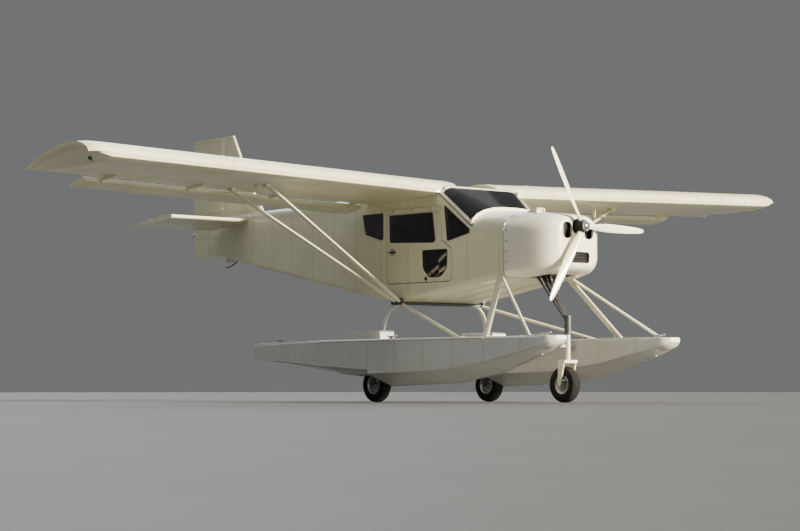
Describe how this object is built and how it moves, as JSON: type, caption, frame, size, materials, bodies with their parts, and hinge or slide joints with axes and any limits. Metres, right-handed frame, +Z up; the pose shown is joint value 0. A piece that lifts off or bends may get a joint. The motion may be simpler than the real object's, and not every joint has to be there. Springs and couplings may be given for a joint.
{
  "type": "floatplane",
  "caption": "High-wing two-seat light aircraft on amphibious twin floats, with strut-braced wings, hung flaperons, hinged doors, control surfaces, a turning propeller and wheels.",
  "frame": {"origin": "on the floor under the middle of the aircraft's box, as it stands on its wheels", "axes": "+Z up, nose towards -Y, port wing towards +X"},
  "size_m": [9, 6.65, 2.94],
  "materials": {
    "cream_skin": "satin cream paint on riveted aluminium sheet",
    "canopy_glass": "clear polycarbonate sheet with a faint grey tint",
    "strut_paint": "cream paint on steel tube",
    "cowl_laminate": "painted glass-fibre laminate",
    "engine_casting": "dark engine casings",
    "bare_steel": "grey coated steel",
    "propeller_laminate": "cream lacquer on composite blades",
    "panel_black": "matt black",
    "seat_cloth": "dark woven cover",
    "float_skin": "light grey paint on riveted aluminium sheet",
    "tyre_rubber": "matt black rubber",
    "wheel_metal": "painted cast wheel"
  },
  "bodies": {
    "airframe": {"wing_left": "cream_skin", "wing_right": "cream_skin", "cabin_shell": "cream_skin", "windshield": "canopy_glass", "roof_skin": "cream_skin", "quarter_window_left": "canopy_glass", "rear_window_left": "canopy_glass", "quarter_window_right": "canopy_glass", "rear_window_right": "canopy_glass", "tail_cone": "cream_skin", "stabiliser": "cream_skin", "fin": "cream_skin", "front_strut_left": "strut_paint", "rear_strut_left": "strut_paint", "front_strut_right": "strut_paint", "rear_strut_right": "strut_paint", "cowling": "cowl_laminate", "engine": "engine_casting", "exhaust": "bare_steel", "instrument_panel": "panel_black", "seat_left": "seat_cloth", "seat_right": "seat_cloth", "control_stick": "panel_black", "float_left": "float_skin", "main_leg_left": "bare_steel", "float_right": "float_skin", "main_leg_right": "bare_steel", "nose_leg": "bare_steel", "gear_crossbar": "bare_steel", "spring_leg_left": "bare_steel", "diagonal_brace_left": "strut_paint", "front_float_strut_left": "strut_paint", "spring_leg_right": "bare_steel", "diagonal_brace_right": "strut_paint", "front_float_strut_right": "strut_paint", "front_spreader": "strut_paint", "rear_spreader": "strut_paint"},
    "propeller": {"propeller": "propeller_laminate"},
    "nose_fork": {"nose_fork": "strut_paint"},
    "nose_wheel": {"nose_tyre": "tyre_rubber", "nose_rim": "wheel_metal"},
    "main_wheel_left": {"main_tyre_left": "tyre_rubber", "main_rim_left": "wheel_metal"},
    "main_wheel_right": {"main_tyre_right": "tyre_rubber", "main_rim_right": "wheel_metal"},
    "door_left": {"door_left": "cream_skin", "door_window_left": "canopy_glass", "door_port_left": "canopy_glass"},
    "door_right": {"door_right": "cream_skin", "door_window_right": "canopy_glass", "door_port_right": "canopy_glass"},
    "flaperon_left": {"flaperon_left": "cream_skin"},
    "flaperon_right": {"flaperon_right": "cream_skin"},
    "elevator": {"elevator": "cream_skin"},
    "rudder": {"rudder": "cream_skin"}
  },
  "joints": [
    {"name": "propeller_spin", "type": "hinge", "parent": "airframe", "child": "propeller", "pos_m": [0, -2.857, 1.65], "axis": [0, -1, 0], "continuous": true},
    {"name": "nose_steer", "type": "hinge", "parent": "airframe", "child": "nose_fork", "pos_m": [0, -2.657, 0.7], "axis": [0, 0, 1], "range_deg": [-25, 25]},
    {"name": "nose_wheel_spin", "type": "hinge", "parent": "nose_fork", "child": "nose_wheel", "pos_m": [0, -2.615, 0.17], "axis": [1, 0, 0], "continuous": true},
    {"name": "main_wheel_left_spin", "type": "hinge", "parent": "airframe", "child": "main_wheel_left", "pos_m": [0.75, -0.765, 0.17], "axis": [1, 0, 0], "continuous": true},
    {"name": "main_wheel_right_spin", "type": "hinge", "parent": "airframe", "child": "main_wheel_right", "pos_m": [-0.75, -0.765, 0.17], "axis": [1, 0, 0], "continuous": true},
    {"name": "door_left_lift", "type": "hinge", "parent": "airframe", "child": "door_left", "pos_m": [0.543, -1.085, 1.888], "axis": [0, -1, 0], "range_deg": [0, 80]},
    {"name": "door_right_lift", "type": "hinge", "parent": "airframe", "child": "door_right", "pos_m": [-0.543, -1.085, 1.888], "axis": [0, 1, 0], "range_deg": [0, 80]},
    {"name": "flaperon_left_droop", "type": "hinge", "parent": "airframe", "child": "flaperon_left", "pos_m": [2.235, -0.319, 1.995], "axis": [-0.9996, 0, -0.029], "range_deg": [-14, 22]},
    {"name": "flaperon_right_droop", "type": "hinge", "parent": "airframe", "child": "flaperon_right", "pos_m": [-2.235, -0.319, 1.995], "axis": [-0.9996, 0, 0.029], "range_deg": [-14, 22]},
    {"name": "elevator_swing", "type": "hinge", "parent": "airframe", "child": "elevator", "pos_m": [0, 2.515, 1.9263], "axis": [1, 0, 0], "range_deg": [-20, 28]},
    {"name": "rudder_swing", "type": "hinge", "parent": "airframe", "child": "rudder", "pos_m": [0, 2.785, 2], "axis": [0, 0, 1], "range_deg": [-25, 25]}
  ]
}
